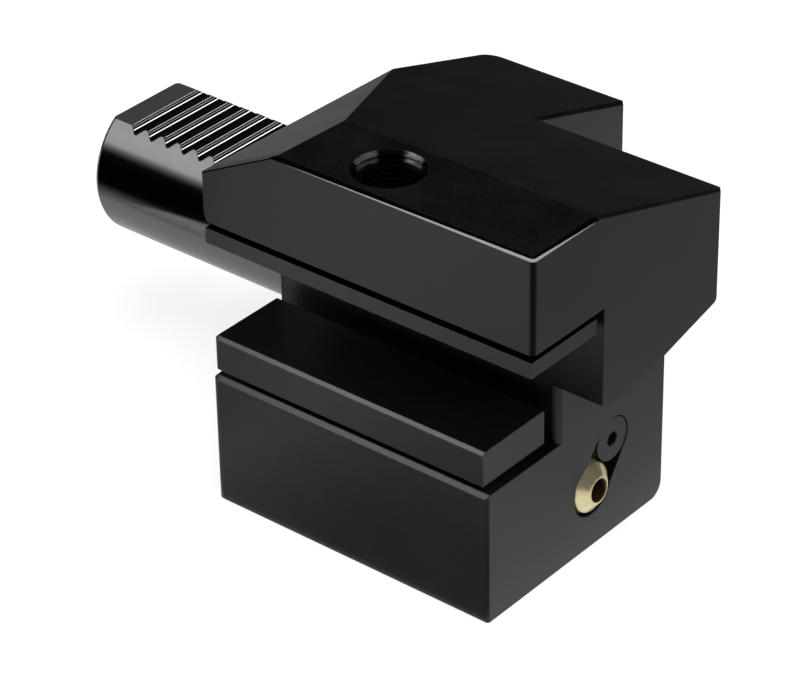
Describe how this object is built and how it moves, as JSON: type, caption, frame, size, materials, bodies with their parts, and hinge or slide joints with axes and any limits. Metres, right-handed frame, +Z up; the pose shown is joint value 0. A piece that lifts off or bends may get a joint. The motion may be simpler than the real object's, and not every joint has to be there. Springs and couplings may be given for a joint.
{
  "type": "turret tool holder",
  "caption": "Axial overhead turret tool holder with a round serrated shank, an open side slot closed by a screw-driven clamp bar, and an aimable coolant nozzle.",
  "frame": {"origin": "point where the shank axis meets the turret contact face", "axes": "+X along the shank axis out of the turret towards the front of the holder, +Z up towards the flat top, +Y away from the open side of the tool slot"},
  "size_m": [0.127, 0.0804, 0.0765],
  "materials": {
    "body_steel": "black oxide on ground steel, satin; the shank is left bright and ground",
    "hardened_steel": "black oxide on hardened steel, finely ground",
    "screw_steel": "black oxide screw steel",
    "spring_steel": "bright spring wire",
    "nozzle_brass": "turned brass, polished",
    "pin_steel": "ground dowel steel",
    "seal_rubber": "moulded nitrile rubber, matt"
  },
  "bodies": {
    "holder": {"holder_body": "body_steel", "seat_strip": "hardened_steel", "seat_strip_screw": "screw_steel", "seat_strip_dowels": "pin_steel", "bar_spring_rear": "spring_steel", "bar_spring_front": "spring_steel", "cross_channel_plug": "screw_steel", "spare_inlet_plug": "screw_steel", "shank_seal_ring": "seal_rubber", "coolant_inlet_seal": "seal_rubber"},
    "clamp_bar": {"clamp_bar": "hardened_steel", "bar_retaining_screw_rear": "screw_steel", "bar_retaining_screw_front": "screw_steel"},
    "clamp_screw_rear": {"clamp_screw_rear": "screw_steel"},
    "clamp_screw_middle": {"clamp_screw_middle": "screw_steel"},
    "clamp_screw_front": {"clamp_screw_front": "screw_steel"},
    "nozzle_swivel": {"nozzle_seal": "seal_rubber"},
    "nozzle": {"coolant_nozzle": "nozzle_brass"},
    "nozzle_screw": {"nozzle_clamp_screw": "screw_steel"}
  },
  "joints": [
    {"name": "bar_slide", "type": "slide", "parent": "holder", "child": "clamp_bar", "axis": [0, 0, 1], "range_m": [-0.00165, 0.004], "deforming": ["bar_spring_rear", "bar_spring_front"]},
    {"name": "clamp_screw_rear_turn", "type": "hinge", "parent": "clamp_bar", "child": "clamp_screw_rear", "pos_m": [0.0115, -0.0349, -0.016], "axis": [0, 0, 1], "range_deg": [-400, 965]},
    {"name": "clamp_screw_middle_turn", "type": "hinge", "parent": "clamp_bar", "child": "clamp_screw_middle", "pos_m": [0.031, -0.0349, -0.016], "axis": [0, 0, 1], "range_deg": [-400, 965]},
    {"name": "clamp_screw_front_turn", "type": "hinge", "parent": "clamp_bar", "child": "clamp_screw_front", "pos_m": [0.0505, -0.0349, -0.016], "axis": [0, 0, 1], "range_deg": [-400, 965]},
    {"name": "nozzle_spin", "type": "hinge", "parent": "holder", "child": "nozzle_swivel", "pos_m": [0.0598, -0.0135, -0.0212], "axis": [1, 0, 0], "range_deg": [-180, 180]},
    {"name": "nozzle_tilt", "type": "hinge", "parent": "nozzle_swivel", "child": "nozzle", "pos_m": [0.0598, -0.0135, -0.0212], "axis": [0, 1, 0], "range_deg": [-12, 18]},
    {"name": "nozzle_screw_turn", "type": "hinge", "parent": "holder", "child": "nozzle_screw", "pos_m": [0.06, -0.0078, -0.0137], "axis": [1, 0, 0], "range_deg": [0, 180]}
  ],
  "couplings": [
    {"joint": "clamp_screw_rear_turn", "follows": "bar_slide", "rad_per_m": 4188.8},
    {"joint": "clamp_screw_middle_turn", "follows": "bar_slide", "rad_per_m": 4188.8},
    {"joint": "clamp_screw_front_turn", "follows": "bar_slide", "rad_per_m": 4188.8}
  ]
}
